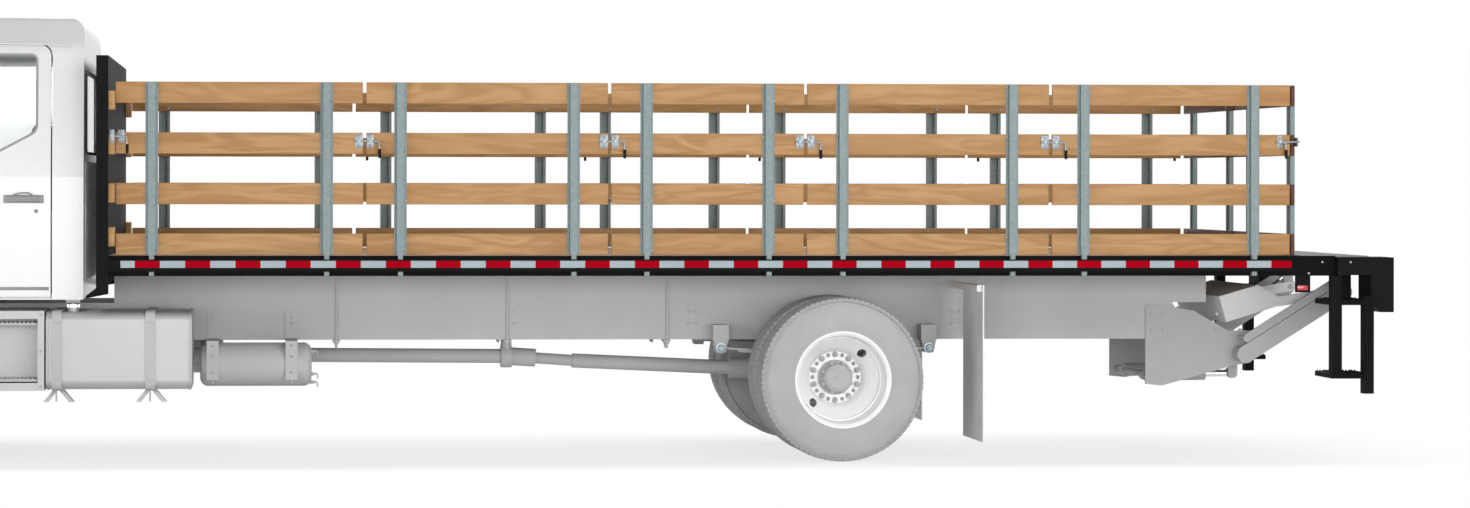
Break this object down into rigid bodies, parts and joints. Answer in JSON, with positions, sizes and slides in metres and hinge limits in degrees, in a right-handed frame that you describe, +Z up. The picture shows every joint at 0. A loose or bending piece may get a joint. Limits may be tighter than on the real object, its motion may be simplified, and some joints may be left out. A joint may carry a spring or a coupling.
{
  "type": "flatbed truck with stake racks",
  "caption": "Bonneted two-axle truck with a long flat bed, wooden stake racks, twin rear wheels and a folding tail lift.",
  "frame": {"origin": "on the ground, half way along the truck, on its centre line", "axes": "+X towards the tail, +Y towards the truck's right, +Z up"},
  "size_m": [10.85, 2.74, 2.7369],
  "materials": {
    "bed_black": "satin black powder coat",
    "cab_white": "gloss white cab paint",
    "cast_grey": "grey casting",
    "chassis_grey": "pale grey chassis paint",
    "deck_wood": "oiled hardwood",
    "flap_rubber": "grey rubber sheet",
    "glass_clear": "clear glass",
    "grille_grey": "dark grille plastic",
    "lamp_clear": "clear lamp lens",
    "lamp_red": "red lamp lens",
    "latch_zinc": "bright zinc plate",
    "lift_grey": "pale grey lift paint",
    "rack_wood": "varnished hardwood",
    "rim_white": "gloss white wheel paint",
    "rod_chrome": "ground chrome rod",
    "seat_fabric": "dark woven cloth",
    "stake_zinc": "galvanised steel",
    "tank_grey": "brushed aluminium",
    "tread_grey": "worn steel treadplate",
    "trim_plastic": "textured dark plastic",
    "tyre_rubber": "pale grey rubber"
  },
  "bodies": {
    "chassis": {"air_tank": "chassis_grey", "bed_frame": "bed_black", "bed_sills": "chassis_grey", "bulkhead": "bed_black", "cab_glass": "glass_clear", "cab_shell": "cab_white", "dashboard": "trim_plastic", "deck_boards": "deck_wood", "driveshaft": "chassis_grey", "engine_block": "cast_grey", "frame_rails": "chassis_grey", "front_axle": "cast_grey", "front_bumper": "chassis_grey", "fuel_tank": "tank_grey", "lift_mount": "lift_grey", "mud_flaps": "flap_rubber", "muffler": "chassis_grey", "rack_latches": "latch_zinc", "rear_axle": "cast_grey", "rear_slats": "rack_wood", "rear_stakes": "stake_zinc", "seats": "seat_fabric", "side_slats": "rack_wood", "side_stakes": "stake_zinc", "springs": "chassis_grey", "step_boxes": "tank_grey", "tail_frame": "bed_black", "tail_lamps": "lamp_red", "treadplate": "tread_grey"},
    "hood_body": {"hood": "cab_white", "grille": "grille_grey", "headlamps": "lamp_clear"},
    "door_left_body": {"door_left": "cab_white", "door_glass_left": "glass_clear", "mirror_left": "trim_plastic"},
    "door_right_body": {"door_right": "cab_white", "door_glass_right": "glass_clear", "mirror_right": "trim_plastic"},
    "knuckle_left_body": {"knuckle_left": "cast_grey"},
    "knuckle_right_body": {"knuckle_right": "cast_grey"},
    "tie_rod_body": {"tie_rod": "chassis_grey"},
    "front_wheel_left": {"front_rim_left": "rim_white", "front_tyre_left": "tyre_rubber", "front_hub_left": "cast_grey"},
    "front_wheel_right": {"front_rim_right": "rim_white", "front_tyre_right": "tyre_rubber", "front_hub_right": "cast_grey"},
    "rear_wheels_left": {"rear_rims_left": "rim_white", "rear_tyres_left": "tyre_rubber", "rear_hub_left": "cast_grey"},
    "rear_wheels_right": {"rear_rims_right": "rim_white", "rear_tyres_right": "tyre_rubber", "rear_hub_right": "cast_grey"},
    "lift_arms_body": {"lift_arms": "lift_grey", "lift_platform": "lift_grey"},
    "lift_bars_body": {"lift_bars": "lift_grey"},
    "lift_shackles_body": {"lift_shackles": "lift_grey"},
    "lift_barrels_body": {"lift_barrels": "lift_grey"},
    "lift_rods_body": {"lift_rods": "rod_chrome"}
  },
  "joints": [
    {"name": "hood_tilt", "type": "hinge", "parent": "chassis", "child": "hood_body", "pos_m": [-5.335, 0, 0.83], "axis": [0, -1, 0], "range_deg": [0, 70]},
    {"name": "door_left_swing", "type": "hinge", "parent": "chassis", "child": "door_left_body", "pos_m": [-3.8045, -1.05, 1.375], "axis": [0, 0, -1], "range_deg": [0, 65]},
    {"name": "door_right_swing", "type": "hinge", "parent": "chassis", "child": "door_right_body", "pos_m": [-3.8045, 1.05, 1.375], "axis": [0, 0, 1], "range_deg": [0, 65]},
    {"name": "steer_left", "type": "hinge", "parent": "chassis", "child": "knuckle_left_body", "pos_m": [-4.443, -0.905, 0.495], "axis": [0, 0, 1], "range_deg": [-32, 32]},
    {"name": "steer_right", "type": "hinge", "parent": "chassis", "child": "knuckle_right_body", "pos_m": [-4.443, 0.905, 0.495], "axis": [0, 0, 1], "range_deg": [-32, 32]},
    {"name": "tie_rod_slide", "type": "slide", "parent": "chassis", "child": "tie_rod_body", "axis": [0, 1, 0], "range_m": [-0.085, 0.085]},
    {"name": "front_left_spin", "type": "hinge", "parent": "knuckle_left_body", "child": "front_wheel_left", "pos_m": [-4.443, -0.985, 0.508], "axis": [0, 1, 0], "continuous": true},
    {"name": "front_right_spin", "type": "hinge", "parent": "knuckle_right_body", "child": "front_wheel_right", "pos_m": [-4.443, 0.985, 0.508], "axis": [0, 1, 0], "continuous": true},
    {"name": "rear_left_spin", "type": "hinge", "parent": "chassis", "child": "rear_wheels_left", "pos_m": [1.983, -0.893, 0.508], "axis": [0, 1, 0], "continuous": true},
    {"name": "rear_right_spin", "type": "hinge", "parent": "chassis", "child": "rear_wheels_right", "pos_m": [1.983, 0.893, 0.508], "axis": [0, 1, 0], "continuous": true},
    {"name": "lift_swing", "type": "hinge", "parent": "chassis", "child": "lift_arms_body", "pos_m": [4.697, 0, 0.628], "axis": [0, 1, 0], "range_deg": [0, 60]},
    {"name": "lift_bar_swing", "type": "hinge", "parent": "chassis", "child": "lift_bars_body", "pos_m": [4.697, 0, 0.733], "axis": [0, 1, 0], "range_deg": [0, 60]},
    {"name": "lift_shackle_level", "type": "hinge", "parent": "lift_arms_body", "child": "lift_shackles_body", "pos_m": [5.33304, 0, 1.02544], "axis": [0, 1, 0], "range_deg": [-60, 0]},
    {"name": "lift_barrel_swing", "type": "hinge", "parent": "chassis", "child": "lift_barrels_body", "pos_m": [4.132, 0, 0.48], "axis": [0, -1, 0], "range_deg": [0, 9.3]},
    {"name": "lift_rod_slide", "type": "slide", "parent": "lift_barrels_body", "child": "lift_rods_body", "axis": [0.9999, 0, 0.0142], "range_m": [-0.116, 0]}
  ],
  "couplings": [
    {"joint": "steer_right", "follows": "steer_left", "ratio": 1},
    {"joint": "tie_rod_slide", "follows": "steer_left", "m_per_rad": 0.15},
    {"joint": "lift_bar_swing", "follows": "lift_swing", "ratio": 1},
    {"joint": "lift_shackle_level", "follows": "lift_swing", "ratio": -1},
    {"joint": "lift_barrel_swing", "follows": "lift_swing", "ratio": 0.1526},
    {"joint": "lift_rod_slide", "follows": "lift_swing", "m_per_rad": -0.1093}
  ]
}
